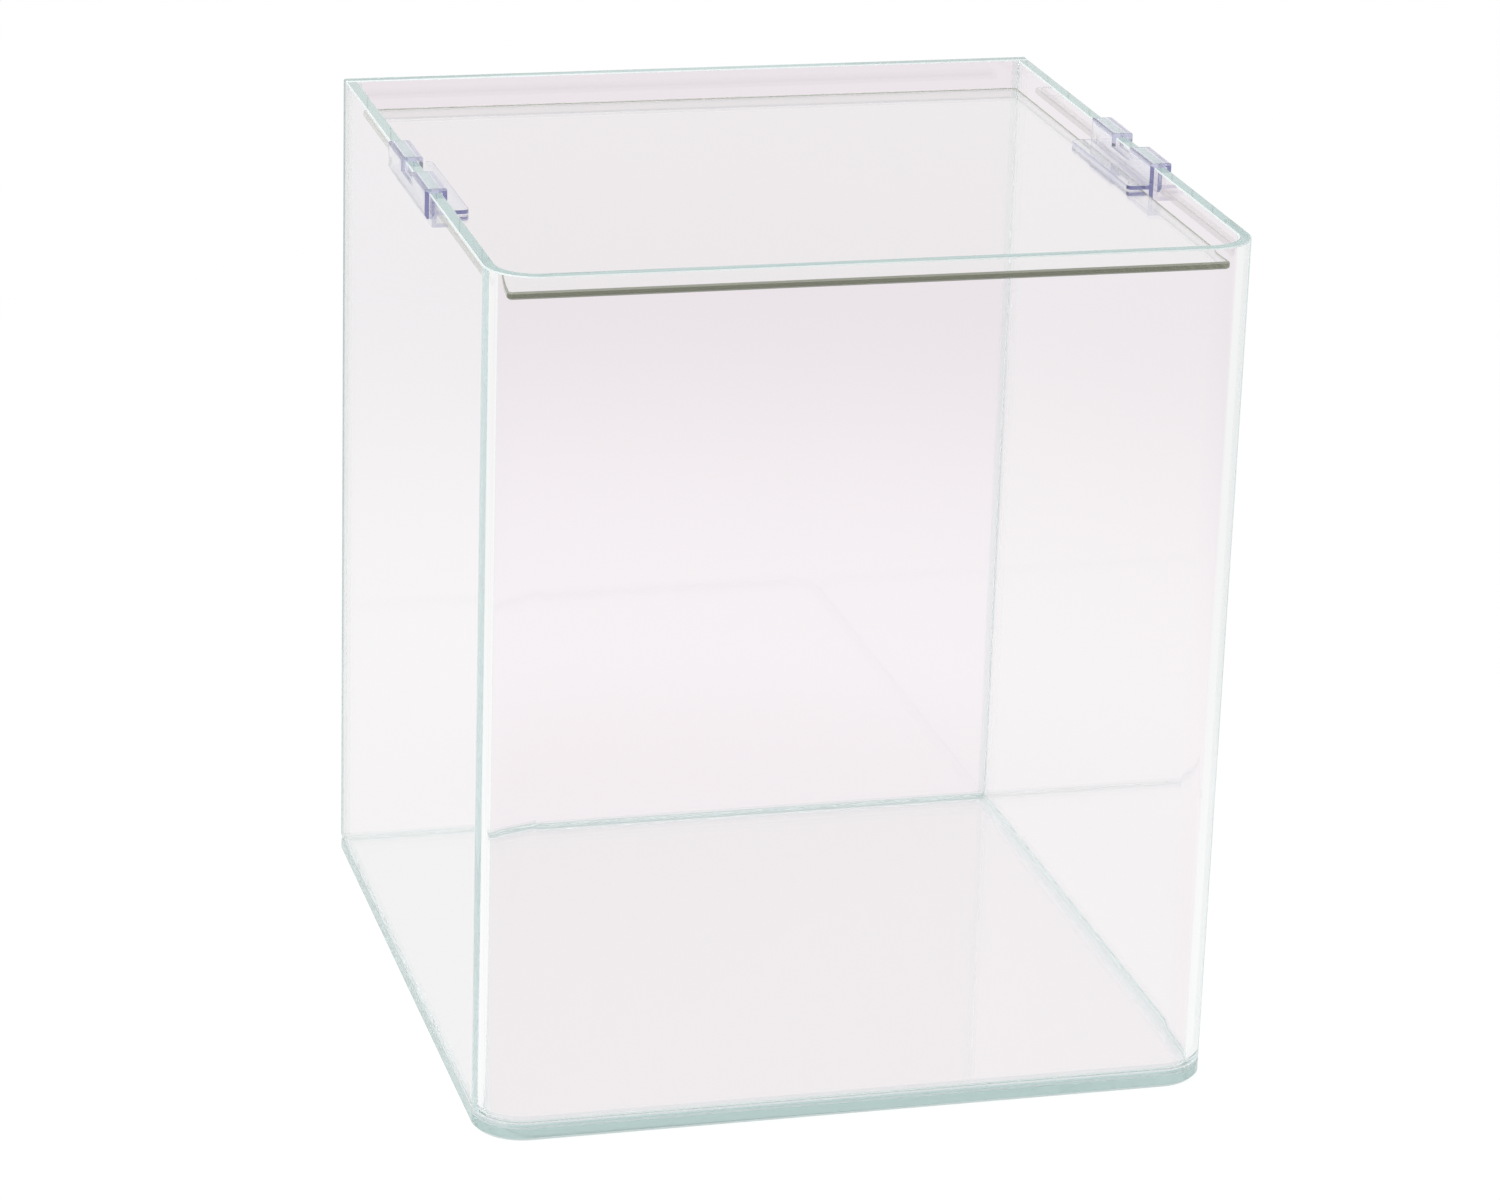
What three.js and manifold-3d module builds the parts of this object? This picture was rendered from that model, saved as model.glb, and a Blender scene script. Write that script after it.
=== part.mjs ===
// Rimless cube aquarium with a bent front pane, a loose cover glass and two clear cover clips.
// Millimetres, +Z up. The origin is the middle of the underside, and the bent front faces -Y.
import * as THREE from 'three';
import { mergeVertices } from 'three/addons/utils/BufferGeometryUtils.js';
import Module from 'manifold-3d';

const wasm = await Module();
wasm.setup();

// Tank
const tankWidth = 300;
const tankHeight = 350;
const bentPaneDepth = 300;
const wallGlass = 5;
const baseGlass = 6;
const bendRadius = 20;
const wallArris = 0.5;
const baseArris = 1;
const baseCornerDub = 1.5;

// Silicone
const bedThickness = 1.2;
const bedRecess = 0.4;
const floorFillet = 3.5;
const cornerFillet = 2.2;
const sealTopDrop = 0.6;

// Cover glass
const coverGlass = 3;
const coverArris = 0.4;
const coverCornerRadius = 2;
const coverBendClearance = 1;
const coverFrontGap = 8;
const coverBackGap = 13.2;
const coverEdgeGap = 2.05;
const coverSlotClearance = 0.2;

// Cover clips
const clipLength = 75;
const clipWall = 1.8;
const clipClearance = 0.15;
const clipOuterDrop = 12;
const clipTopRadius = 0.8;
const clipLeadIn = 0.9;
const finThickness = 1.6;
const finReach = 8.9;
const finTipRadius = 0.6;
const finCornerRadius = 2.5;
const upperFinDrop = 8.95;
const notchLength = 22;
const notchDepth = 5.4;
const leftClipPlace = 4;
const rightClipPlace = 1;

// How far a cut runs past the face it starts from
const cutOverrun = 1;

// Facet counts
const bendSteps = 16;
const filletSteps = 6;
const roundSteps = 4;

// Places that follow from the sizes above
const halfWidth = tankWidth / 2;
const halfDepth = (bentPaneDepth + bedThickness + wallGlass) / 2;
const wallFoot = baseGlass + bedThickness;
const wallHeight = tankHeight - wallFoot;
const innerHalfWidth = halfWidth - wallGlass;
const innerBack = halfDepth - wallGlass;
const innerFront = wallGlass - halfDepth;
const bentPaneEnd = bentPaneDepth - halfDepth;
const clipTop = tankHeight + clipClearance + clipWall;
const legOuterFace = innerHalfWidth - clipClearance;
const legInnerFace = legOuterFace - clipWall;
const upperFinTop = clipTop - upperFinDrop;
const slotTop = upperFinTop - finThickness;
const slotBottom = slotTop - coverGlass - 2 * coverSlotClearance;
const coverBottom = slotBottom + coverSlotClearance;
const coverHalfWidth = legInnerFace - coverEdgeGap;

// Clear materials, as settings that each piece makes its own material from
const glass = { color: 0xcfe3df, roughness: 0.03, opacity: 0.35 };
const silicone = { color: 0xdfe3e2, roughness: 0.45, opacity: 0.6 };
const clearPlastic = { color: 0xb9b6dc, roughness: 0.15, opacity: 0.5 };

// Corners is a list of [x, y, radius], and a radius of zero leaves the corner sharp
function filletedShape(corners) {
  const shape = new THREE.Shape();
  corners.forEach(([x, y, radius], i) => {
    const at = new THREE.Vector2(x, y);
    const before = new THREE.Vector2(...corners.at(i - 1));
    const after = new THREE.Vector2(...corners[(i + 1) % corners.length]);
    const start = before.sub(at).setLength(radius).add(at);
    const end = after.sub(at).setLength(radius).add(at);
    if (i === 0) shape.moveTo(start.x, start.y);
    else shape.lineTo(start.x, start.y);
    if (radius > 0) shape.quadraticCurveTo(x, y, end.x, end.y);
  });
  shape.closePath();
  return shape;
}

// A sheet of glass lying on z = 0 with both its edges ground to an arris
function sheet(shape, thickness, arris, curveSegments) {
  const geometry = new THREE.ExtrudeGeometry(shape, {
    depth: thickness - 2 * arris,
    bevelEnabled: true,
    bevelThickness: arris,
    bevelSize: arris,
    bevelOffset: -arris,
    bevelSegments: 1,
    curveSegments,
  });
  return geometry.translate(0, 0, arris);
}

// The tank's outline seen from above, inset from its outer faces, from the back left round the front
function tankOutline(inset, back) {
  const side = halfWidth - inset;
  const front = inset - halfDepth;
  const radius = bendRadius - inset;
  const points = [new THREE.Vector2(-side, back)];
  for (const sign of [-1, 1]) {
    for (let step = 0; step <= bendSteps; step += 1) {
      const turn = (Math.PI / 2) * (step / bendSteps);
      const angle = sign < 0 ? turn : Math.PI / 2 - turn;
      const x = sign * (side - radius + radius * Math.cos(angle));
      points.push(new THREE.Vector2(x, front + radius - radius * Math.sin(angle)));
    }
  }
  points.push(new THREE.Vector2(side, back));
  return points;
}

function solid(geometry) {
  const bare = geometry.clone();
  bare.deleteAttribute('normal');
  bare.deleteAttribute('uv');
  const merged = mergeVertices(bare);
  const mesh = new wasm.Mesh({
    numProp: 3,
    vertProperties: new Float32Array(merged.attributes.position.array),
    triVerts: new Uint32Array(merged.index.array),
  });
  return new wasm.Manifold(mesh);
}

function geometryOf(body) {
  const { vertProperties, triVerts } = body.getMesh();
  const geometry = new THREE.BufferGeometry();
  geometry.setAttribute('position', new THREE.BufferAttribute(vertProperties, 3));
  geometry.setIndex(new THREE.BufferAttribute(triVerts, 1));
  return geometry;
}

function piece(name, geometry, settings) {
  const faceted = geometry.index ? geometry.toNonIndexed() : geometry;
  faceted.computeVertexNormals();
  const material = new THREE.MeshStandardMaterial({ ...settings, metalness: 0, transparent: true });
  const mesh = new THREE.Mesh(faceted, material);
  mesh.name = name;
  return mesh;
}

function block(from, to) {
  const size = new THREE.Vector3().subVectors(to, from);
  const middle = new THREE.Vector3().addVectors(from, to).divideScalar(2);
  return new THREE.BoxGeometry(size.x, size.y, size.z).translate(middle.x, middle.y, middle.z);
}

// Base pane, which carries the walls and has their outline, with its sharp back corners taken off
function basePane() {
  const front = tankOutline(0, halfDepth - baseCornerDub);
  const backCorners = [
    new THREE.Vector2(halfWidth - baseCornerDub, halfDepth),
    new THREE.Vector2(baseCornerDub - halfWidth, halfDepth),
  ];
  return sheet(new THREE.Shape([...front, ...backCorners]), baseGlass, baseArris, 1);
}

// One pane bent round both front corners, standing on its silicone bed
function bentPane() {
  const outer = tankOutline(0, bentPaneEnd);
  const inner = tankOutline(wallGlass, bentPaneEnd).reverse();
  const shape = new THREE.Shape([...outer, ...inner]);
  return sheet(shape, wallHeight, wallArris, 1).translate(0, 0, wallFoot);
}

// Back pane, glued behind the ends of the bent pane
function backPane() {
  const shape = filletedShape([
    [-halfWidth, 0, 0],
    [halfWidth, 0, 0],
    [halfWidth, wallHeight, 0],
    [-halfWidth, wallHeight, 0],
  ]);
  const geometry = sheet(shape, wallGlass, wallArris, 1).rotateX(Math.PI / 2);
  return geometry.translate(0, halfDepth, wallFoot);
}

// Bed under all four walls with a tooled fillet round the floor, lofted ring by ring from its section
function baseSeal() {
  const section = [
    [bedRecess, baseGlass],
    [wallGlass + floorFillet, baseGlass],
  ];
  for (let step = 1; step <= filletSteps; step += 1) {
    const angle = (Math.PI / 2) * (step / filletSteps);
    const inset = wallGlass + floorFillet * (1 - Math.sin(angle));
    section.push([inset, baseGlass + floorFillet * (1 - Math.cos(angle))]);
  }
  section.push([wallGlass, wallFoot]);
  section.push([bedRecess, wallFoot]);
  const rings = section.map(([inset, z]) => {
    const ring = tankOutline(inset, halfDepth - inset);
    return ring.map(({ x, y }) => new THREE.Vector3(x, y, z));
  });
  const count = rings[0].length;
  const faces = [];
  for (let ring = 0; ring < rings.length; ring += 1) {
    const next = (ring + 1) % rings.length;
    for (let i = 0; i < count; i += 1) {
      const j = (i + 1) % count;
      const [a, b] = [ring * count + i, ring * count + j];
      const [c, d] = [next * count + j, next * count + i];
      faces.push(a, d, c, a, c, b);
    }
  }
  return new THREE.BufferGeometry().setFromPoints(rings.flat()).setIndex(faces);
}

// Silicone between the back pane and one end of the bent pane, with its fillet in the corner
function cornerSeal(side) {
  const sealTop = tankHeight - sealTopDrop;
  const outerX = side * (halfWidth - bedRecess);
  const innerX = side * innerHalfWidth;
  const shape = new THREE.Shape();
  shape.moveTo(outerX, bentPaneEnd);
  shape.lineTo(outerX, innerBack);
  shape.lineTo(innerX - side * cornerFillet, innerBack);
  for (let step = 1; step <= filletSteps; step += 1) {
    const angle = (Math.PI / 2) * (step / filletSteps);
    const inward = cornerFillet * (1 - Math.sin(angle));
    shape.lineTo(innerX - side * inward, innerBack - cornerFillet * (1 - Math.cos(angle)));
  }
  shape.lineTo(innerX, bentPaneEnd);
  shape.closePath();
  const filletFoot = baseGlass + floorFillet;
  const run = new THREE.ExtrudeGeometry(shape, { depth: sealTop - filletFoot, bevelEnabled: false });
  run.translate(0, 0, filletFoot);
  const footFrom = new THREE.Vector3(Math.min(outerX, innerX), bentPaneEnd, wallFoot);
  const footTo = new THREE.Vector3(Math.max(outerX, innerX), innerBack, filletFoot);
  return geometryOf(solid(run).add(solid(block(footFrom, footTo))));
}

// Loose cover glass, held between the fins of both clips. Its front corners are rounded further where
// they would come too near the bends.
function coverPane() {
  const front = innerFront + coverFrontGap;
  const back = innerBack - coverBackGap;
  const bendReach = bendRadius - wallGlass - coverBendClearance;
  const pastBendX = coverHalfWidth - (halfWidth - bendRadius);
  const pastBendY = bendRadius - halfDepth - front;
  const spare = Math.sqrt(2 * (bendReach - pastBendX) * (bendReach - pastBendY));
  const frontCornerRadius = Math.max(coverCornerRadius, pastBendX + pastBendY - bendReach - spare);
  const shape = filletedShape([
    [-coverHalfWidth, front, frontCornerRadius],
    [coverHalfWidth, front, frontCornerRadius],
    [coverHalfWidth, back, coverCornerRadius],
    [-coverHalfWidth, back, coverCornerRadius],
  ]);
  return sheet(shape, coverGlass, coverArris, roundSteps).translate(0, 0, coverBottom);
}

// Moulded clip that hangs on one side wall by two hooks and grips the cover between two fins
function coverClip(side, place) {
  const outerFace = halfWidth + clipClearance;
  const finTip = legInnerFace - finReach;
  const outerFoot = clipTop - clipOuterDrop;
  const slotCeiling = tankHeight + clipClearance;
  const finFoot = slotBottom - finThickness;
  const corners = [
    [outerFace, outerFoot, 0],
    [outerFace + clipWall - clipLeadIn, outerFoot, 0],
    [outerFace + clipWall, outerFoot + 2 * clipLeadIn, 0],
    [outerFace + clipWall, clipTop, clipTopRadius],
    [legInnerFace, clipTop, clipTopRadius],
    [legInnerFace, upperFinTop, 0],
    [finTip, upperFinTop, finTipRadius],
    [finTip, slotTop, finTipRadius],
    [legInnerFace, slotTop, 0],
    [legInnerFace, slotBottom, 0],
    [finTip, slotBottom, finTipRadius],
    [finTip, finFoot, finTipRadius],
    [legOuterFace, finFoot, finTipRadius],
    [legOuterFace, slotCeiling, 0],
    [outerFace, slotCeiling, 0],
  ].map(([x, z, radius]) => [side * x, z, radius]);
  const profile = new THREE.ExtrudeGeometry(filletedShape(corners), {
    depth: clipLength,
    bevelEnabled: false,
    curveSegments: roundSteps,
  });
  profile.rotateX(Math.PI / 2).translate(0, clipLength / 2, 0);

  const outside = side * (outerFace + clipWall);
  const plan = filletedShape([
    [side * finTip, -clipLength / 2, finCornerRadius],
    [outside, -clipLength / 2, 0],
    [outside, clipLength / 2, 0],
    [side * finTip, clipLength / 2, finCornerRadius],
  ]);
  const planBlock = new THREE.ExtrudeGeometry(plan, {
    depth: clipTop - finFoot,
    bevelEnabled: false,
    curveSegments: roundSteps,
  });
  planBlock.translate(0, 0, finFoot);

  const notchSides = [side * (legInnerFace - cutOverrun), outside + side * cutOverrun];
  const notch = block(
    new THREE.Vector3(Math.min(...notchSides), -notchLength / 2, clipTop - notchDepth),
    new THREE.Vector3(Math.max(...notchSides), notchLength / 2, clipTop + cutOverrun),
  );
  const body = solid(profile).intersect(solid(planBlock)).subtract(solid(notch));
  return geometryOf(body).translate(0, place, 0);
}

const tank = new THREE.Group();
tank.add(piece('base_pane', basePane(), glass));
tank.add(piece('bent_pane', bentPane(), glass));
tank.add(piece('back_pane', backPane(), glass));
tank.add(piece('base_seal', baseSeal(), silicone));
tank.add(piece('corner_seal_left', cornerSeal(-1), silicone));
tank.add(piece('corner_seal_right', cornerSeal(1), silicone));

const cover = new THREE.Group();
cover.add(piece('cover_glass', coverPane(), glass));
cover.add(piece('clip_left', coverClip(-1, leftClipPlace), clearPlastic));
cover.add(piece('clip_right', coverClip(1, rightClipPlace), clearPlastic));

const aquarium = new THREE.Group();
aquarium.add(tank, cover);
export default aquarium;
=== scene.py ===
# Rimless cube aquarium with a bent front pane, a loose cover glass and two clear cover clips.
# Metres, +Z up. The origin is the middle of the base's underside, and the bent front faces -Y.
import math

import bmesh
import bpy
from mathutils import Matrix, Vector


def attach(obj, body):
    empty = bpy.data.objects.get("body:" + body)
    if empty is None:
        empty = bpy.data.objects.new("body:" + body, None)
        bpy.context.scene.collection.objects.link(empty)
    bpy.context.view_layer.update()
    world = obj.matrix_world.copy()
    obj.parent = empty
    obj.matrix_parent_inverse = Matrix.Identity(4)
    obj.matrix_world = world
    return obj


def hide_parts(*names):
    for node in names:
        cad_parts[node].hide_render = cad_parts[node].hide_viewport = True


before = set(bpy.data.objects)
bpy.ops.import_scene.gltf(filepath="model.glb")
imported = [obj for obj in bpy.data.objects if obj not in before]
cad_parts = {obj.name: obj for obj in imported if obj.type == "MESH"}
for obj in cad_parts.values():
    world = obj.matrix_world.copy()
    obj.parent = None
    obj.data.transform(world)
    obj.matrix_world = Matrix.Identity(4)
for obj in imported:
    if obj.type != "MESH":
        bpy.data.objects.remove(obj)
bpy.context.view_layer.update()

MM = 0.001

# Tank
TANK_WIDTH = 300 * MM
TANK_HEIGHT = 350 * MM
BENT_PANE_DEPTH = 300 * MM
WALL_GLASS = 5 * MM
BASE_GLASS = 6 * MM
BEND_RADIUS = 20 * MM
WALL_ARRIS = 0.5 * MM
BASE_TOP_ARRIS = 0.5 * MM
BASE_FOOT_ARRIS = 1.4 * MM
BASE_CORNER_DUB = 1.5 * MM

# Silicone
BED_THICKNESS = 1.2 * MM
BED_RECESS = 0.4 * MM
BED_CORNER = 1.2 * MM
FLOOR_FILLET = 3.5 * MM
CORNER_FILLET = 2.2 * MM
SEAL_TOP_DROP = 0.6 * MM
# How far the silicone bites into each glass face it wets, so that no two faces lie on each other
WETTING = 0.02 * MM

# Cover glass
COVER_GLASS = 3 * MM
COVER_ARRIS = 0.7 * MM
COVER_CORNER_RADIUS = 2 * MM
COVER_FRONT_GAP = 8 * MM
COVER_BACK_GAP = 13.2 * MM
COVER_EDGE_GAP = 2.05 * MM
COVER_SLOT_CLEARANCE = 0.2 * MM

# Cover clips
CLIP_LENGTH = 75 * MM
CLIP_WALL = 1.8 * MM
CLIP_CLEARANCE = 0.15 * MM
CLIP_OUTER_DROP = 12 * MM
CLIP_TOP_RADIUS = 0.8 * MM
CLIP_LEAD_IN = 0.9 * MM
CLIP_EDGE_ROUNDING = 0.15 * MM
FIN_THICKNESS = 1.6 * MM
FIN_REACH = 8.9 * MM
FIN_CORNER_RADIUS = 2.5 * MM
UPPER_FIN_DROP = 8.95 * MM
NOTCH_LENGTH = 22 * MM
NOTCH_DEPTH = 5.4 * MM
LEFT_CLIP_PLACE = 4 * MM
RIGHT_CLIP_PLACE = 1 * MM

# Places that follow from the sizes above
HALF_WIDTH = TANK_WIDTH / 2
HALF_DEPTH = (BENT_PANE_DEPTH + BED_THICKNESS + WALL_GLASS) / 2
WALL_FOOT = BASE_GLASS + BED_THICKNESS
INNER_HALF_WIDTH = HALF_WIDTH - WALL_GLASS
INNER_BACK = HALF_DEPTH - WALL_GLASS
INNER_FRONT = WALL_GLASS - HALF_DEPTH
BENT_PANE_END = BENT_PANE_DEPTH - HALF_DEPTH
CLIP_TOP = TANK_HEIGHT + CLIP_CLEARANCE + CLIP_WALL
LEG_OUTER_FACE = INNER_HALF_WIDTH - CLIP_CLEARANCE
LEG_INNER_FACE = LEG_OUTER_FACE - CLIP_WALL
UPPER_FIN_TOP = CLIP_TOP - UPPER_FIN_DROP
SLOT_TOP = UPPER_FIN_TOP - FIN_THICKNESS
SLOT_BOTTOM = SLOT_TOP - COVER_GLASS - 2 * COVER_SLOT_CLEARANCE
COVER_BOTTOM = SLOT_BOTTOM + COVER_SLOT_CLEARANCE
COVER_HALF_WIDTH = LEG_INNER_FACE - COVER_EDGE_GAP

# Facets of each bend, fillet and small rounding, and the bevel profile that is hollow like a tooled fillet
BEND_STEPS = 48
FILLET_STEPS = 12
ROUND_STEPS = 6
HOLLOW_PROFILE = 0.086

# An edge of glass that turns more than this is a real edge, and a flatter one belongs to a bend
SHARP_ANGLE = math.radians(25)
# Silicone and moulded plastic are shaded smooth up to this angle
SOFT_ANGLE = math.radians(40)
# The mould rounds every edge of a clip that turns more than this
MOULDED_ANGLE = math.radians(35)
# The top value, at which a flat face keeps its flat shading beside a bend
FLAT_SHADING_WEIGHT = 100

# Places closer than this are one place
NEAR = 0.01 * MM
# How far the facets of a bend may lie off its arc
FACET_SLACK = 0.1 * MM
# Share of its length that an edge has along an axis when it runs along it
ALONG = 0.999
# Upward part of the normal of a face that lies flat, at the least
FLAT = 0.9
# Lean below which a face is a true edge of its pane, and above which it is a broad side
EDGE_LEAN, SIDE_LEAN = 0.01, 0.99

# Face attributes of a pane: 1 on its edges all round, on the ground strips among them, and on the faces
# that let light on into the silicone
EDGE, GROUND, BONDED = "pane_edge", "ground_arris", "bonded"
# Face attribute of the silicone: 1 where the bed shows between the edges of the base and the walls, where
# the green light of the glass edges is painted on it
BED_SIDE_GLOW = "bed_side_glow"


# Modelling


def step(x=0, y=0, z=0):
    """The settings of an extrusion that moves by one vector."""
    return {"value": (x, y, z)}


def trace(name, corners):
    """Draws a closed outline by pulling one vertex from corner to corner, and fills it."""
    bpy.ops.object.select_all(action="DESELECT")
    bpy.ops.mesh.primitive_plane_add(size=MM, location=corners[0])
    piece = bpy.context.object
    piece.name = piece.data.name = name
    bpy.ops.object.transform_apply(location=True, rotation=True, scale=True)
    bpy.ops.object.mode_set(mode="EDIT")
    bpy.ops.mesh.select_mode(type="VERT")
    bpy.ops.mesh.select_all(action="SELECT")
    bpy.ops.mesh.merge(type="CENTER")
    for start, end in zip(corners, corners[1:]):
        move = [b - a for a, b in zip(start, end)]
        bpy.ops.mesh.extrude_region_move(TRANSFORM_OT_translate=step(*move))
    bpy.ops.mesh.select_all(action="SELECT")
    bpy.ops.mesh.edge_face_add()
    bpy.ops.mesh.select_mode(type="FACE")
    bpy.ops.mesh.select_all(action="SELECT")
    return piece


def extrude(x=0, y=0, z=0):
    """Pulls the selected faces out along one vector."""
    bpy.ops.mesh.extrude_region_move(TRANSFORM_OT_translate=step(x, y, z))


def pick(piece, kind, wanted):
    """In edit mode, selects only the vertices, edges or faces that pass a test."""
    bpy.ops.mesh.select_mode(type=kind)
    bpy.ops.mesh.select_all(action="DESELECT")
    mesh = bmesh.from_edit_mesh(piece.data)
    for part in {"VERT": mesh.verts, "EDGE": mesh.edges, "FACE": mesh.faces}[kind]:
        if wanted(part):
            part.select_set(True)
    mesh.select_flush_mode()
    bmesh.update_edit_mesh(piece.data)


def runs_along(edge, axis):
    """Whether an edge runs along one axis, 0 for X, 1 for Y or 2 for Z."""
    along = edge.verts[1].co - edge.verts[0].co
    return along.length > NEAR and abs(along[axis]) > ALONG * along.length


def at(part, axis, *places):
    """Whether every vertex of an edge or face lies at one of the places on an axis."""
    return all(any(abs(v.co[axis] - p) < NEAR for p in places) for v in part.verts)


def is_sharp(edge):
    return len(edge.link_faces) == 2 and edge.calc_face_angle(0) > SHARP_ANGLE


def close(piece):
    """Merges doubled vertices and turns every face outwards."""
    bpy.ops.mesh.select_all(action="SELECT")
    bpy.ops.mesh.remove_doubles(threshold=NEAR / 10)
    bpy.ops.mesh.select_all(action="SELECT")
    bpy.ops.mesh.normals_make_consistent(inside=False)


def grind_edges(piece, width, wanted=is_sharp):
    """Takes the sharp edges off a pane as a belt grinder does."""
    pick(piece, "EDGE", wanted)
    bpy.ops.mesh.bevel(offset=width, segments=1, affect="EDGES")


def mark_edges(piece, lean):
    """Marks the edges of a pane and their ground strips. A face's lean is 1 on the pane's two broad
    sides, 0 on its edges, and between them on the ground strips."""
    mesh = bmesh.from_edit_mesh(piece.data)
    for name in (EDGE, GROUND, BONDED):
        mesh.faces.layers.float.new(name)
    edge, ground, bonded = (mesh.faces.layers.float[name] for name in (EDGE, GROUND, BONDED))
    for face in mesh.faces:
        face.normal_update()
        in_air = not wetted(face)
        face[edge] = float(in_air and lean(face) < SIDE_LEAN)
        face[ground] = float(in_air and EDGE_LEAN < lean(face) < SIDE_LEAN)
        face[bonded] = float(lets_light_on(face) and lean(face) < SIDE_LEAN)
    bmesh.update_edit_mesh(piece.data)


def at_foot(face):
    """Whether a face lies on the foot of a wall, over the base."""
    return WALL_FOOT - NEAR < face.calc_center_median().z < WALL_FOOT + WALL_ARRIS


def at_wall_end(face):
    """Whether a face lies on the ends of the bent pane, against the back pane."""
    middle = face.calc_center_median()
    beside_back = BENT_PANE_END - WALL_ARRIS < middle.y < BENT_PANE_END + NEAR
    return beside_back and WALL_FOOT < middle.z < TANK_HEIGHT - WALL_ARRIS


def wetted(face):
    """Whether a face of a wall lies in the silicone, which fills its grinding marks and clears it."""
    return at_foot(face) or at_wall_end(face)


def lets_light_on(face):
    """Whether light that runs along a wall goes on through a wetted face into the silicone, which turns
    it back where it comes in as flat as it does at the foot of the bent pane."""
    return at_wall_end(face) or at_foot(face) and face.calc_center_median().y > INNER_BACK


def lean_of_flat_pane(face):
    return abs(face.normal.z)


def lean_of_back_pane(face):
    return abs(face.normal.y)


def lean_of_bent_pane(face):
    at_end = face.calc_center_median().y > BENT_PANE_END - WALL_ARRIS
    return abs(face.normal.x) if at_end else math.hypot(face.normal.x, face.normal.y)


def finish_mesh(piece, sharp=SHARP_ANGLE):
    """Leaves edit mode and shades bends smooth, with flat faces kept flat beside them."""
    bpy.ops.object.mode_set(mode="OBJECT")
    bpy.ops.object.select_all(action="DESELECT")
    piece.select_set(True)
    bpy.context.view_layer.objects.active = piece
    bpy.ops.object.shade_smooth_by_angle(angle=sharp)
    bpy.ops.object.modifier_add(type="WEIGHTED_NORMAL")
    piece.modifiers[-1].keep_sharp = True
    piece.modifiers[-1].weight = FLAT_SHADING_WEIGHT
    bpy.ops.object.modifier_apply(modifier=piece.modifiers[-1].name)


def place_piece(piece, body, node, material):
    """Hands a finished piece to the frame in the place of its CAD node."""
    piece.data.materials.clear()
    piece.data.materials.append(material)
    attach(piece, body)
    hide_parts(node)


def base_glass():
    """Base pane with the bent corners of the walls in front and dubbed corners behind."""
    piece = trace(
        "base_glass",
        [
            (-HALF_WIDTH, HALF_DEPTH, 0),
            (-HALF_WIDTH, -HALF_DEPTH, 0),
            (HALF_WIDTH, -HALF_DEPTH, 0),
            (HALF_WIDTH, HALF_DEPTH, 0),
        ],
    )
    extrude(z=BASE_GLASS)
    close(piece)
    pick(piece, "EDGE", lambda e: runs_along(e, 2) and at(e, 1, -HALF_DEPTH))
    bpy.ops.mesh.bevel(offset=BEND_RADIUS, segments=BEND_STEPS, affect="EDGES")
    pick(piece, "EDGE", lambda e: runs_along(e, 2) and at(e, 1, HALF_DEPTH))
    bpy.ops.mesh.bevel(offset=BASE_CORNER_DUB, segments=1, affect="EDGES")
    grind_edges(piece, BASE_TOP_ARRIS, lambda e: is_sharp(e) and at(e, 2, BASE_GLASS))
    grind_edges(piece, BASE_FOOT_ARRIS, lambda e: is_sharp(e) and at(e, 2, 0))
    mark_edges(piece, lean_of_flat_pane)
    finish_mesh(piece)
    return piece


def bent_glass():
    """One pane led round both front corners from its back left end to its back right end."""
    straight = BENT_PANE_END + HALF_DEPTH - BEND_RADIUS
    turn_x = HALF_WIDTH - BEND_RADIUS
    turn_y = BEND_RADIUS - HALF_DEPTH
    piece = trace(
        "bent_front_glass",
        [
            (-HALF_WIDTH, BENT_PANE_END, WALL_FOOT),
            (-INNER_HALF_WIDTH, BENT_PANE_END, WALL_FOOT),
            (-INNER_HALF_WIDTH, BENT_PANE_END, TANK_HEIGHT),
            (-HALF_WIDTH, BENT_PANE_END, TANK_HEIGHT),
        ],
    )
    extrude(y=-straight)
    for side in (-1, 1):
        bpy.ops.mesh.spin(
            steps=BEND_STEPS,
            angle=math.radians(-90),
            center=(side * turn_x, turn_y, 0),
            axis=(0, 0, 1),
        )
        if side < 0:
            extrude(x=2 * turn_x)
    extrude(y=straight)
    close(piece)
    grind_edges(piece, WALL_ARRIS)
    mark_edges(piece, lean_of_bent_pane)
    finish_mesh(piece)
    return piece


def back_glass():
    """Flat back pane."""
    piece = trace(
        "back_glass",
        [
            (-HALF_WIDTH, HALF_DEPTH, WALL_FOOT),
            (HALF_WIDTH, HALF_DEPTH, WALL_FOOT),
            (HALF_WIDTH, HALF_DEPTH, TANK_HEIGHT),
            (-HALF_WIDTH, HALF_DEPTH, TANK_HEIGHT),
        ],
    )
    extrude(y=-WALL_GLASS)
    close(piece)
    grind_edges(piece, WALL_ARRIS)
    mark_edges(piece, lean_of_back_pane)
    finish_mesh(piece)
    return piece


def cover_sheet():
    """Loose cover glass with rounded corners."""
    front = INNER_FRONT + COVER_FRONT_GAP
    back = INNER_BACK - COVER_BACK_GAP
    piece = trace(
        "cover_sheet",
        [
            (-COVER_HALF_WIDTH, back, COVER_BOTTOM),
            (-COVER_HALF_WIDTH, front, COVER_BOTTOM),
            (COVER_HALF_WIDTH, front, COVER_BOTTOM),
            (COVER_HALF_WIDTH, back, COVER_BOTTOM),
        ],
    )
    extrude(z=COVER_GLASS)
    close(piece)
    pick(piece, "EDGE", lambda e: runs_along(e, 2))
    bpy.ops.mesh.bevel(offset=COVER_CORNER_RADIUS, segments=2 * ROUND_STEPS, affect="EDGES")
    grind_edges(piece, COVER_ARRIS)
    mark_edges(piece, lean_of_flat_pane)
    finish_mesh(piece)
    return piece


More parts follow.
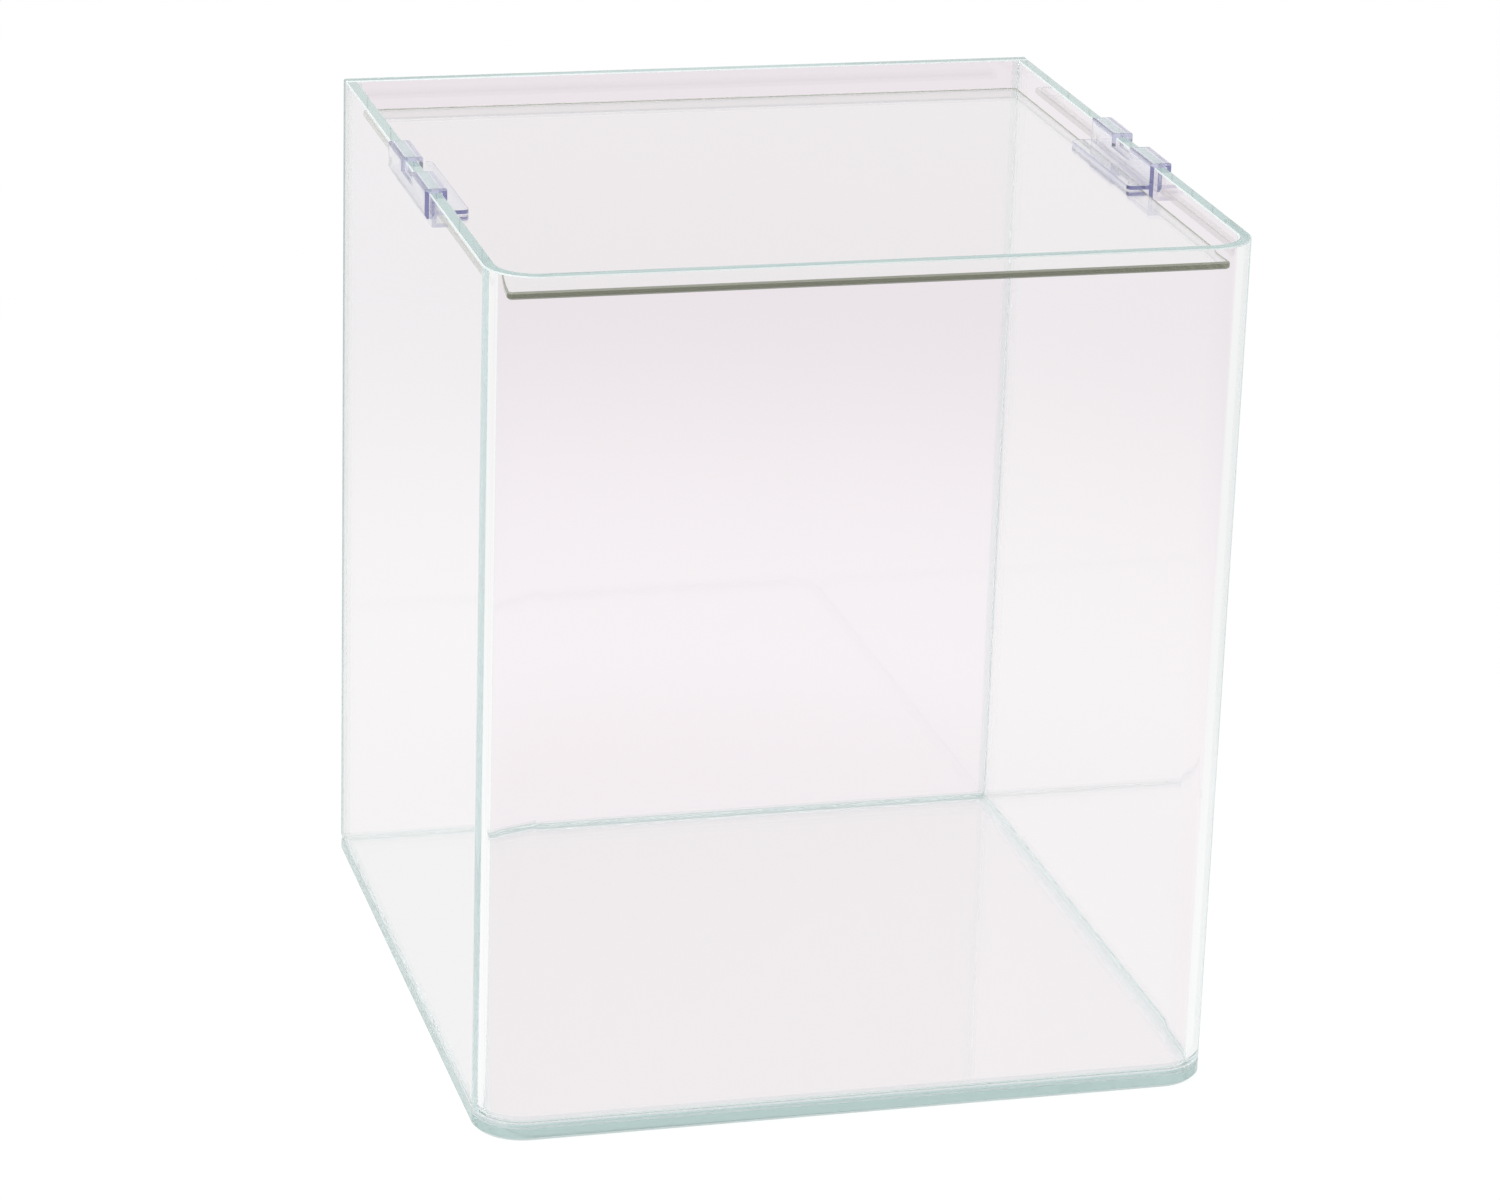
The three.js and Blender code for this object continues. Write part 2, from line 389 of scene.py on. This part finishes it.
def floor_bead():
    """Silicone bed under the four walls and the hollow fillet tooled round the floor."""
    side, end = HALF_WIDTH - BED_RECESS, HALF_DEPTH - BED_RECESS
    foot = BASE_GLASS - WETTING
    outline = [(-side, end), (-side, -end), (side, -end), (side, end)]
    piece = trace("floor_bead", [(x, y, foot) for x, y in outline])
    pick(piece, "VERT", lambda v: v.co.y < 0)
    bpy.ops.mesh.bevel(offset=BEND_RADIUS - BED_RECESS, segments=BEND_STEPS, affect="VERTICES")
    bpy.ops.mesh.select_mode(type="FACE")
    bpy.ops.mesh.select_all(action="SELECT")
    under_walls = WALL_GLASS - WETTING - BED_RECESS
    bpy.ops.mesh.inset(thickness=under_walls, depth=0)
    bpy.ops.mesh.inset(thickness=FLOOR_FILLET + WETTING, depth=0)
    bpy.ops.mesh.delete(type="FACE")
    bpy.ops.mesh.select_all(action="SELECT")
    bpy.ops.mesh.normals_make_consistent(inside=False)
    bpy.ops.mesh.select_all(action="SELECT")
    extrude(z=BED_THICKNESS + 2 * WETTING)
    inner = WALL_GLASS + FLOOR_FILLET
    bed_top = foot + BED_THICKNESS + 2 * WETTING

    def inset_of(v):
        """How far a point of the plan lies inside the tank's outline."""
        x, y = abs(v.co.x), v.co.y
        out_x, out_y = x - (HALF_WIDTH - BEND_RADIUS), BEND_RADIUS - HALF_DEPTH - y
        if out_x > 0 and out_y > 0:
            return BEND_RADIUS - math.hypot(out_x, out_y)
        return min(HALF_WIDTH - x, HALF_DEPTH - abs(y))

    def over_floor(face):
        deepest = max(map(inset_of, face.verts))
        return face.normal.z > FLAT and at(face, 2, bed_top) and deepest > inner - FACET_SLACK

    close(piece)
    pick(piece, "FACE", over_floor)
    extrude(z=BASE_GLASS + FLOOR_FILLET - bed_top)
    close(piece)
    pick(piece, "EDGE", lambda e: at(e, 2, bed_top) and not is_sharp(e))
    bpy.ops.mesh.dissolve_edges()
    pick(piece, "EDGE", lambda e: runs_along(e, 2) and at(e, 0, -side, side) and at(e, 1, end))
    bpy.ops.mesh.bevel(offset=BED_CORNER, segments=ROUND_STEPS, affect="EDGES")
    top = BASE_GLASS + FLOOR_FILLET
    pick(
        piece,
        "EDGE",
        lambda e: at(e, 2, top) and is_sharp(e) and min(map(inset_of, e.verts)) > inner - FACET_SLACK,
    )
    bpy.ops.mesh.bevel(
        offset=FLOOR_FILLET - NEAR, segments=FILLET_STEPS, profile=HOLLOW_PROFILE, affect="EDGES"
    )
    close(piece)

    mesh = bmesh.from_edit_mesh(piece.data)
    bed_side_glow = mesh.faces.layers.float.new(BED_SIDE_GLOW)
    for face in mesh.faces:
        middle, deepest = face.calc_center_median(), max(map(inset_of, face.verts))
        outside = deepest < BED_RECESS + NEAR
        under_front = deepest < WALL_GLASS and middle.y < INNER_FRONT and middle.z < bed_top + NEAR
        face[bed_side_glow] = float(outside or under_front)
    bmesh.update_edit_mesh(piece.data)
    finish_mesh(piece, SOFT_ANGLE)
    return piece


def corner_bead(name, side):
    """Silicone between the back pane and one end of the bent pane, with its fillet inside."""
    outer, inner = HALF_WIDTH - BED_RECESS, INNER_HALF_WIDTH + WETTING
    front, back = BENT_PANE_END - WETTING, INNER_BACK + WETTING
    tip_x, tip_y = side * (INNER_HALF_WIDTH - CORNER_FILLET), INNER_BACK - CORNER_FILLET
    foot, fillet_foot = WALL_FOOT + WETTING, BASE_GLASS + FLOOR_FILLET - WETTING
    corners = [(side * outer, front), (side * outer, back), (side * inner, back), (side * inner, front)]
    piece = trace(name, [(x, y, foot) for x, y in corners])
    extrude(z=fillet_foot - foot)
    extrude(z=TANK_HEIGHT - SEAL_TOP_DROP - fillet_foot)
    close(piece)
    pick(piece, "FACE", lambda f: at(f, 0, side * inner) and max(v.co.z for v in f.verts) > fillet_foot + MM)
    extrude(x=-side * (CORNER_FILLET + WETTING))
    pick(
        piece,
        "FACE",
        lambda f: at(f, 1, front) and max(abs(v.co.x) for v in f.verts) < inner + NEAR,
    )
    extrude(y=tip_y - front)
    close(piece)
    pick(piece, "EDGE", lambda e: runs_along(e, 2) and at(e, 0, tip_x) and at(e, 1, tip_y))
    bpy.ops.mesh.bevel(
        offset=CORNER_FILLET - NEAR, segments=FILLET_STEPS, profile=HOLLOW_PROFILE, affect="EDGES"
    )
    close(piece)
    finish_mesh(piece, SOFT_ANGLE)
    return piece


def cover_clip(name, side, place):
    """Moulded clip: two hooks over the rim and two fins that grip the cover."""
    outer_face = HALF_WIDTH + CLIP_CLEARANCE
    outside = outer_face + CLIP_WALL
    fin_tip = LEG_INNER_FACE - FIN_REACH
    outer_foot = CLIP_TOP - CLIP_OUTER_DROP
    ceiling = TANK_HEIGHT + CLIP_CLEARANCE
    fin_foot = SLOT_BOTTOM - FIN_THICKNESS
    corners = [
        (outer_face, outer_foot),
        (outside - CLIP_LEAD_IN, outer_foot),
        (outside, outer_foot + 2 * CLIP_LEAD_IN),
        (outside, CLIP_TOP),
        (LEG_INNER_FACE, CLIP_TOP),
        (LEG_INNER_FACE, UPPER_FIN_TOP),
        (fin_tip, UPPER_FIN_TOP),
        (fin_tip, SLOT_TOP),
        (LEG_INNER_FACE, SLOT_TOP),
        (LEG_INNER_FACE, SLOT_BOTTOM),
        (fin_tip, SLOT_BOTTOM),
        (fin_tip, fin_foot),
        (LEG_OUTER_FACE, fin_foot),
        (LEG_OUTER_FACE, ceiling),
        (outer_face, ceiling),
    ]
    near_end, far_end = place - CLIP_LENGTH / 2, place + CLIP_LENGTH / 2
    piece = trace(name, [(side * x, near_end, z) for x, z in corners])
    extrude(y=CLIP_LENGTH)
    close(piece)
    pick(piece, "EDGE", lambda e: runs_along(e, 2) and at(e, 0, side * fin_tip))
    bpy.ops.mesh.bevel(offset=FIN_CORNER_RADIUS, segments=2 * ROUND_STEPS, affect="EDGES")
    pick(piece, "EDGE", lambda e: runs_along(e, 1) and at(e, 2, CLIP_TOP))
    bpy.ops.mesh.bevel(offset=CLIP_TOP_RADIUS, segments=ROUND_STEPS, affect="EDGES")
    bpy.ops.object.mode_set(mode="OBJECT")

    bpy.ops.object.select_all(action="DESELECT")
    bpy.ops.mesh.primitive_cube_add(
        size=1, location=(side * (HALF_WIDTH - WALL_GLASS / 2), place, CLIP_TOP)
    )
    cutter = bpy.context.object
    cutter.scale = (4 * WALL_GLASS, NOTCH_LENGTH, 2 * NOTCH_DEPTH)
    bpy.ops.object.transform_apply(location=True, rotation=True, scale=True)
    bpy.ops.object.select_all(action="DESELECT")
    piece.select_set(True)
    bpy.context.view_layer.objects.active = piece
    bpy.ops.object.modifier_add(type="BOOLEAN")
    notch = piece.modifiers[-1]
    notch.operation, notch.solver, notch.object = "DIFFERENCE", "EXACT", cutter
    bpy.ops.object.modifier_apply(modifier=notch.name)
    bpy.data.objects.remove(cutter)

    bpy.ops.object.modifier_add(type="BEVEL")
    rounding = piece.modifiers[-1]
    rounding.width, rounding.segments, rounding.limit_method = CLIP_EDGE_ROUNDING, 2, "ANGLE"
    rounding.angle_limit = MOULDED_ANGLE
    bpy.ops.object.modifier_apply(modifier=rounding.name)
    bpy.ops.object.mode_set(mode="EDIT")
    close(piece)
    finish_mesh(piece, SOFT_ANGLE)
    return piece


# Materials

WHITE = "FFFFFF"
# Grain of the belt that grinds an arris, drawn coarser than it is so that it shows, and the roughness that
# it leaves in its finest and its coarsest places
GRIT = 0.35 * MM
FINE_FROST, COARSE_FROST = 0.24, 0.56
# Share of a polished edge that is painted diffuse in the green of the light that comes out of it, and share
# of an arris that scatters light as its frost does and carries that painted green too
EDGE_GLOW_SHARE, ARRIS_CLOUD = 0.4, 0.8
# Spacing of the ripples that a finger leaves in silicone
RIPPLE = 9 * MM
# How clear the tooled silicone is, and the side of its bed, which lets less through so that its painted
# green shows
CLEAR_SILICONE, CLEAR_BED = 0.9, 0.75
# Spacing of the flow lines in moulded plastic, and how fast they change along the clip against across it
FLOW_LINE, FLOW_PACE = 2.5 * MM, 0.15
# Height of the grinding marks, ripples and flow lines at full strength
RELIEF_DEPTH = 0.05 * MM


def colour(code):
    """sRGB hex to linear RGBA."""
    channels = [int(code[i : i + 2], 16) / 255 for i in (0, 2, 4)]
    linear = [c / 12.92 if c <= 0.04045 else ((c + 0.055) / 1.055) ** 2.4 for c in channels]
    return (*linear, 1)


def add(tree, kind, links=None, **settings):
    """Adds a node. Links give sockets their sources, and settings set a node's own properties."""
    node = tree.nodes.new(kind)
    for name, value in settings.items():
        setattr(node, name, value)
    for socket, value in (links or {}).items():
        if isinstance(value, bpy.types.NodeSocket):
            tree.links.new(value, node.inputs[socket])
        else:
            node.inputs[socket].default_value = value
    return node


def new_material(name):
    material = bpy.data.materials.new(name)
    material.use_nodes = True
    material.node_tree.nodes.clear()
    return material, material.node_tree


def clear_surface(tree, surface, body, lamp_tint):
    """Lets lamps through a clear piece, and tints what goes a long way inside it."""
    path = add(tree, "ShaderNodeLightPath")
    lamps = add(tree, "ShaderNodeBsdfTransparent", {"Color": lamp_tint})
    both = add(
        tree,
        "ShaderNodeMixShader",
        {0: path.outputs["Is Shadow Ray"], 1: surface.outputs[0], 2: lamps.outputs[0]},
    )
    add(tree, "ShaderNodeOutputMaterial", {"Surface": both.outputs[0], "Volume": body.outputs[0]})


def float_glass(name, tint, strength, edge_glow_tone, arris_glow_tone):
    """Soda-lime float glass. Its faces are fire-polished, so they are clear as water, and its edges, where
    the light has come a long way through the sheet, show the iron in it.
    That green light is painted on each polished edge as a diffuse tone over part of its surface, and its
    arris, which is ground with a fine belt and is frosted, carries a painted tone of the same light."""
    material, tree = new_material(name)
    place = add(tree, "ShaderNodeTexCoord")
    edge = add(tree, "ShaderNodeAttribute", attribute_name=EDGE).outputs["Fac"]
    ground = add(tree, "ShaderNodeAttribute", attribute_name=GROUND).outputs["Fac"]
    grit = add(
        tree,
        "ShaderNodeTexNoise",
        {"Vector": place.outputs["Object"], "Scale": 1 / GRIT, "Detail": 4, "Roughness": 0.7},
    )
    # Painted glow: edges and arrises get a diffuse tone that stands in for the green light that has run
    # along the pane
    on_edge = add(
        tree,
        "ShaderNodeMix",
        {0: edge, 6: colour(WHITE), 7: edge_glow_tone},
        data_type="RGBA",
    )
    tone = add(
        tree,
        "ShaderNodeMix",
        {0: ground, 6: on_edge.outputs[2], 7: arris_glow_tone},
        data_type="RGBA",
    )
    # Edges let less light through, so that the painted tone shows on them
    polished = add(
        tree,
        "ShaderNodeMapRange",
        {"Value": edge, "To Min": 1, "To Max": 1 - EDGE_GLOW_SHARE},
    )
    clear = add(
        tree,
        "ShaderNodeMix",
        {0: ground, 2: polished.outputs["Result"], 3: 1 - ARRIS_CLOUD},
        data_type="FLOAT",
    )
    frost = add(
        tree,
        "ShaderNodeMapRange",
        {"Value": grit.outputs["Fac"], "To Min": FINE_FROST, "To Max": COARSE_FROST},
    )
    roughness = add(
        tree,
        "ShaderNodeMath",
        {0: frost.outputs["Result"], 1: ground},
        operation="MULTIPLY",
    )
    depth = add(
        tree,
        "ShaderNodeMath",
        {0: grit.outputs["Fac"], 1: ground},
        operation="MULTIPLY",
    )
    relief = add(
        tree,
        "ShaderNodeBump",
        {"Height": depth.outputs[0], "Strength": 0.35, "Distance": RELIEF_DEPTH},
    )
    surface = add(
        tree,
        "ShaderNodeBsdfPrincipled",
        {
            "Base Color": tone.outputs[2],
            "Roughness": roughness.outputs[0],
            "IOR": 1.52,
            "Transmission Weight": clear.outputs[0],
            "Normal": relief.outputs["Normal"],
        },
    )
    bonded = add(tree, "ShaderNodeAttribute", attribute_name=BONDED).outputs["Fac"]
    unseen = add(tree, "ShaderNodeBsdfTransparent")
    skin = add(tree, "ShaderNodeMixShader", {0: bonded, 1: surface.outputs[0], 2: unseen.outputs[0]})
    body = add(tree, "ShaderNodeVolumeAbsorption", {"Color": tint, "Density": strength})
    clear_surface(tree, skin, body, colour("F6FAF9"))
    return material


def clear_silicone():
    """Acetoxy silicone sealant, tooled with a wet finger. It is clear, and its skin is smooth with slow
    ripples, so that it reads as a soft pale band. Its IOR, 1.41, is taken against the glass that it is
    bonded to. Where the thin bed shows, the green light of the glass edges above and below it is painted on
    it."""
    material, tree = new_material("clear_silicone_sealant")
    place = add(tree, "ShaderNodeTexCoord")
    ripples = add(
        tree,
        "ShaderNodeTexNoise",
        {"Vector": place.outputs["Object"], "Scale": 1 / RIPPLE, "Detail": 3, "Roughness": 0.5},
    )
    relief = add(
        tree,
        "ShaderNodeBump",
        {"Height": ripples.outputs["Fac"], "Strength": 0.1, "Distance": RELIEF_DEPTH},
    )
    sheen = add(
        tree,
        "ShaderNodeMapRange",
        {"Value": ripples.outputs["Fac"], "To Min": 0.02, "To Max": 0.08},
    )
    bed_side_glow = add(tree, "ShaderNodeAttribute", attribute_name=BED_SIDE_GLOW).outputs["Fac"]
    # Painted light: the bed's side gets the green of the light from the glass edges beside it
    tone = add(
        tree,
        "ShaderNodeMix",
        {0: bed_side_glow, 6: colour("F4F6F6"), 7: colour("CCDCDA")},
        data_type="RGBA",
    )
    clear = add(
        tree,
        "ShaderNodeMapRange",
        {"Value": bed_side_glow, "To Min": CLEAR_SILICONE, "To Max": CLEAR_BED},
    )
    surface = add(
        tree,
        "ShaderNodeBsdfPrincipled",
        {
            "Base Color": tone.outputs[2],
            "Roughness": sheen.outputs["Result"],
            "IOR": 1.08,
            "Transmission Weight": clear.outputs["Result"],
            "Normal": relief.outputs["Normal"],
        },
    )
    body = add(tree, "ShaderNodeVolumeAbsorption", {"Color": colour("C8CCCC"), "Density": 6})
    clear_surface(tree, surface, body, colour("E8EAEA"))
    return material


def clear_plastic():
    """Clear polycarbonate, injection moulded and a little blued so that it doesn't look yellow. The blue
    gathers to violet where the eye looks along the clip, and flow lines ripple its faces."""
    material, tree = new_material("clear_polycarbonate")
    place = add(tree, "ShaderNodeTexCoord")
    along = add(
        tree,
        "ShaderNodeMapping",
        {"Vector": place.outputs["Object"], "Scale": (1, FLOW_PACE, 1)},
    )
    flow = add(
        tree,
        "ShaderNodeTexNoise",
        {"Vector": along.outputs["Vector"], "Scale": 1 / FLOW_LINE, "Detail": 3, "Roughness": 0.55},
    )
    relief = add(
        tree,
        "ShaderNodeBump",
        {"Height": flow.outputs["Fac"], "Strength": 0.3, "Distance": RELIEF_DEPTH},
    )
    gloss = add(
        tree,
        "ShaderNodeMapRange",
        {"Value": flow.outputs["Fac"], "To Min": 0.01, "To Max": 0.08},
    )
    surface = add(
        tree,
        "ShaderNodeBsdfPrincipled",
        {
            "Base Color": colour(WHITE),
            "Roughness": gloss.outputs["Result"],
            "IOR": 1.585,
            "Transmission Weight": 1,
            "Normal": relief.outputs["Normal"],
        },
    )
    body = add(tree, "ShaderNodeVolumeAbsorption", {"Color": colour("5654B8"), "Density": 21})
    clear_surface(tree, surface, body, colour("EEEEF8"))
    return material


# Studio

# The table lies this far under the base, so that the two don't share a face
TABLE_DROP = 0.2 * MM
TABLE_SIZE = 60
# How much of the table's white is its own near the tank, where the rest keeps the tank's shadow
TABLE_GLOW = 0.88
# Level of the table in a reflection, which it keeps out to the first distance and has lost at the second
TABLE_REFLECTED = 0.86
TABLE_NEAR, TABLE_FAR = 0.25, 1.15
# Level of the room in a reflection, away from the backdrop
ROOM_LEVEL = 0.6
# Cosine of the turn from the backdrop's middle, from outside the backdrop to well on it
BACKDROP_EDGE, BACKDROP_FULL = 0.1, 0.8
# Height above the horizon over which the backdrop darkens, where 1 is straight up, and what is left of it
BACKDROP_LOW, BACKDROP_HIGH, BACKDROP_TOP_LEVEL = 0.2, 0.75, 0.3
# Level of the room and the table for light that has turned once inside the glass, and for light that has
# turned more often
ROOM_TURNED, TABLE_TURNED, CARRIED_LEVEL = 0.75, 0.93, 1
# Level at which the room lights matt surfaces
ROOM_LIGHT = (0.6, 0.6, 0.6, 1)
# Painted shade on the table where it is seen through clear glass: darkest right under the tank, where the
# tank shades it, lighter beside it, and darker again far behind it, and the distances from the tank's middle
# between which each tone goes over into the next
TANK_SHADE_ON_TABLE, TABLE_SHADE_THROUGH_GLASS, FAR_SHADE_THROUGH_GLASS = "EFE6EA", "F5EDF1", "EBE3E8"
UNDER_NEAR, UNDER_FAR = 0.2, 0.4
THROUGH_NEAR, THROUGH_FAR = 0.45, 1.05


def backdrop_share(tree, place, level):
    """How far a direction, or a place seen from the tank, lies towards the backdrop behind it."""
    parts = add(tree, "ShaderNodeSeparateXYZ", {"Vector": place})
    flat = add(tree, "ShaderNodeCombineXYZ", {"X": parts.outputs["X"], "Y": parts.outputs["Y"]})
    unit = add(tree, "ShaderNodeVectorMath", {0: flat.outputs[0]}, operation="NORMALIZE")
    turn = add(tree, "ShaderNodeSeparateXYZ", {"Vector": unit.outputs[0]})
    share = add(
        tree,
        "ShaderNodeMapRange",
        {
            "Value": turn.outputs["Y"],
            "From Min": BACKDROP_EDGE,
            "From Max": BACKDROP_FULL,
            "To Min": ROOM_LEVEL,
            "To Max": level,
        },
        interpolation_type="SMOOTHSTEP",
    )
    return share.outputs["Result"], parts.outputs["Z"]


def seen_white(tree, reflected, turned, through_glass_shade):
    """The studio as a ray sees it. Straight ahead it is white, and through clear glass it takes the painted
    shade of the table, a little darker and pink as the camera took it. In a reflection it has the level of
    the room.
    Where light has run along the inside of a pane it is the white table or backdrop again."""
    path = add(tree, "ShaderNodeLightPath").outputs
    direct = add(
        tree,
        "ShaderNodeMath",
        {0: path["Glossy Depth"], 1: 0.5},
        operation="LESS_THAN",
    )
    turns = add(
        tree,
        "ShaderNodeMapRange",
        {
            "Value": path["Glossy Depth"],
            "From Min": 1,
            "From Max": 2,
            "To Min": turned,
            "To Max": CARRIED_LEVEL,
        },
    )
    through = add(
        tree,
        "ShaderNodeMath",
        {0: direct.outputs[0], 1: path["Is Transmission Ray"]},
        operation="MULTIPLY",
    )
    room = add(
        tree,
        "ShaderNodeMix",
        {0: path["Is Transmission Ray"], 2: reflected, 3: turns.outputs["Result"]},
        data_type="FLOAT",
    )
    grey = add(tree, "ShaderNodeCombineColor", {i: room.outputs[0] for i in range(3)})
    glass = add(
        tree,
        "ShaderNodeMix",
        {0: through.outputs[0], 6: grey.outputs[0], 7: through_glass_shade},
        data_type="RGBA",
    )
    seen = add(
        tree,
        "ShaderNodeMix",
        {0: path["Is Camera Ray"], 6: glass.outputs[2], 7: colour(WHITE)},
        data_type="RGBA",
    )
    return seen.outputs[2], path


def studio_world():
    world = bpy.data.worlds.new("studio")
    bpy.context.scene.world = world
    world.use_nodes = True
    tree = world.node_tree
    tree.nodes.clear()
    way = add(tree, "ShaderNodeTexCoord").outputs["Generated"]
    share, height = backdrop_share(tree, way, 1)
    darker = add(
        tree,
        "ShaderNodeMapRange",
        {
            "Value": height,
            "From Min": BACKDROP_LOW,
            "From Max": BACKDROP_HIGH,
            "To Min": 1,
            "To Max": BACKDROP_TOP_LEVEL,
        },
        interpolation_type="SMOOTHSTEP",
    )
    reflected = add(
        tree,
        "ShaderNodeMath",
        {0: share, 1: darker.outputs["Result"]},
        operation="MULTIPLY",
    )
    # Through clear glass the far studio takes the painted shade of the far table
    seen, path = seen_white(tree, reflected.outputs[0], ROOM_TURNED, colour(FAR_SHADE_THROUGH_GLASS))
    lit = add(
        tree,
        "ShaderNodeMix",
        {0: path["Is Diffuse Ray"], 6: seen, 7: ROOM_LIGHT},
        data_type="RGBA",
    )
    background = add(tree, "ShaderNodeBackground", {"Color": lit.outputs[2]})
    add(tree, "ShaderNodeOutputWorld", {"Surface": background.outputs[0]})


def studio_floor():
    bpy.ops.object.select_all(action="DESELECT")
    bpy.ops.mesh.primitive_plane_add(size=TABLE_SIZE, location=(0, 0, -TABLE_DROP))
    floor = bpy.context.object
    floor.name = "floor"
    bpy.ops.object.transform_apply(location=True, rotation=True, scale=True)
    material, tree = new_material("white_table")
    place = add(tree, "ShaderNodeTexCoord").outputs["Object"]
    share, _ = backdrop_share(tree, place, TABLE_REFLECTED)
    distance = add(tree, "ShaderNodeVectorMath", {0: place}, operation="LENGTH")
    near = add(
        tree,
        "ShaderNodeMapRange",
        {
            "Value": distance.outputs["Value"],
            "From Min": TABLE_NEAR,
            "From Max": TABLE_FAR,
            "To Min": TABLE_REFLECTED,
            "To Max": 0,
        },
        interpolation_type="SMOOTHSTEP",
    )
    reflected = add(
        tree,
        "ShaderNodeMath",
        {0: share, 1: near.outputs["Result"]},
        operation="MAXIMUM",
    )
    far = add(
        tree,
        "ShaderNodeMapRange",
        {"Value": distance.outputs["Value"], "From Min": THROUGH_NEAR, "From Max": THROUGH_FAR},
        interpolation_type="SMOOTHSTEP",
    )
    beside = add(
        tree,
        "ShaderNodeMapRange",
        {"Value": distance.outputs["Value"], "From Min": UNDER_NEAR, "From Max": UNDER_FAR},
        interpolation_type="SMOOTHSTEP",
    )
    # Painted shade of the tank on the table under it, as seen through the glass
    tank_shade_mix = add(
        tree,
        "ShaderNodeMix",
        {0: beside.outputs["Result"], 6: colour(TANK_SHADE_ON_TABLE), 7: colour(TABLE_SHADE_THROUGH_GLASS)},
        data_type="RGBA",
    )
    through_glass_shade = add(
        tree,
        "ShaderNodeMix",
        {0: far.outputs["Result"], 6: tank_shade_mix.outputs[2], 7: colour(FAR_SHADE_THROUGH_GLASS)},
        data_type="RGBA",
    )
    seen, path = seen_white(tree, reflected.outputs[0], TABLE_TURNED, through_glass_shade.outputs[2])
    glow = add(tree, "ShaderNodeEmission", {"Color": seen})
    matt = add(tree, "ShaderNodeBsdfDiffuse", {"Color": colour(WHITE)})
    white = add(
        tree,
        "ShaderNodeMapRange",
        {"Value": far.outputs["Result"], "To Min": TABLE_GLOW, "To Max": 1},
    )
    glowing = add(
        tree,
        "ShaderNodeMix",
        {0: path["Is Diffuse Ray"], 2: white.outputs["Result"], 3: 0},
        data_type="FLOAT",
    )
    both = add(
        tree,
        "ShaderNodeMixShader",
        {0: glowing.outputs[0], 1: matt.outputs[0], 2: glow.outputs[0]},
    )
    add(tree, "ShaderNodeOutputMaterial", {"Surface": both.outputs[0]})
    floor.data.materials.append(material)


def softbox(name, place, size, power):
    """A soft lamp that looks at the middle of the tank."""
    bpy.ops.object.select_all(action="DESELECT")
    bpy.ops.object.light_add(type="AREA", location=place)
    lamp = bpy.context.object
    lamp.name = name
    lamp.data.shape = "DISK"
    lamp.data.size = size
    lamp.data.energy = power
    lamp.visible_camera = False
    lamp.visible_transmission = False
    aim = Vector((0, 0, TANK_HEIGHT / 2)) - Vector(place)
    lamp.rotation_euler = aim.to_track_quat("-Z", "Y").to_euler()


# Camera that was fitted to the outline in the photograph, with its turn in degrees and its lens in mm
CAMERA_PLACE = (-0.52511, -1.90886, 0.86861)
CAMERA_TURN = (70.3481, -1.7306, -14.5572)
CAMERA_LENS, CAMERA_SENSOR = 122.294, 36
CAMERA_NEAR, CAMERA_FAR = 0.05, 100


def camera():
    bpy.ops.object.select_all(action="DESELECT")
    bpy.ops.object.camera_add(location=CAMERA_PLACE)
    view = bpy.context.object
    view.rotation_euler = [math.radians(angle) for angle in CAMERA_TURN]
    view.data.sensor_width = CAMERA_SENSOR
    view.data.lens = CAMERA_LENS
    view.data.clip_start = CAMERA_NEAR
    view.data.clip_end = CAMERA_FAR
    bpy.context.scene.camera = view


camera()
studio_world()
studio_floor()
softbox("overhead_softbox", place=(-0.3, 0.1, 2.2), size=1.6, power=29)
softbox("front_left_softbox", place=(-1.6, -1.4, 1.5), size=0.9, power=10)

# The edge and arris tones below are painted light: the green or olive that light takes on its way along each
# pane
base_float_glass = float_glass(
    "base_float_glass",
    tint=colour("35A095"),
    strength=1.1,
    edge_glow_tone=colour("CCDCDA"),
    arris_glow_tone=colour("CAD1D1"),
)
wall_float_glass = float_glass(
    "wall_float_glass",
    tint=colour("5FC1C1"),
    strength=0.7,
    edge_glow_tone=colour("A2B6B3"),
    arris_glow_tone=colour("DAE2E1"),
)
cover_float_glass = float_glass(
    "cover_float_glass",
    tint=colour("7C7E24"),
    strength=6.2,
    edge_glow_tone=colour("84886C"),
    arris_glow_tone=colour("8E9082"),
)
silicone = clear_silicone()
plastic = clear_plastic()

place_piece(base_glass(), "tank", "base_pane", base_float_glass)
place_piece(bent_glass(), "tank", "bent_pane", wall_float_glass)
place_piece(back_glass(), "tank", "back_pane", wall_float_glass)
place_piece(floor_bead(), "tank", "base_seal", silicone)
place_piece(corner_bead("corner_bead_left", -1), "tank", "corner_seal_left", silicone)
place_piece(corner_bead("corner_bead_right", 1), "tank", "corner_seal_right", silicone)
place_piece(cover_sheet(), "cover", "cover_glass", cover_float_glass)
left_clip = cover_clip("cover_clip_left", -1, LEFT_CLIP_PLACE)
place_piece(left_clip, "left_cover_clip", "clip_left", plastic)
right_clip = cover_clip("cover_clip_right", 1, RIGHT_CLIP_PLACE)
place_piece(right_clip, "right_cover_clip", "clip_right", plastic)

scene = bpy.context.scene
scene.view_settings.view_transform = "Standard"
# Light that runs along a pane turns back off its faces many times before it comes out at the edge
TURNS_IN_PANE, FACES_CROSSED = 96, 32
scene.cycles.max_bounces = TURNS_IN_PANE
scene.cycles.min_light_bounces = TURNS_IN_PANE
scene.cycles.glossy_bounces = TURNS_IN_PANE
scene.cycles.transmission_bounces = FACES_CROSSED
scene.cycles.transparent_max_bounces = FACES_CROSSED
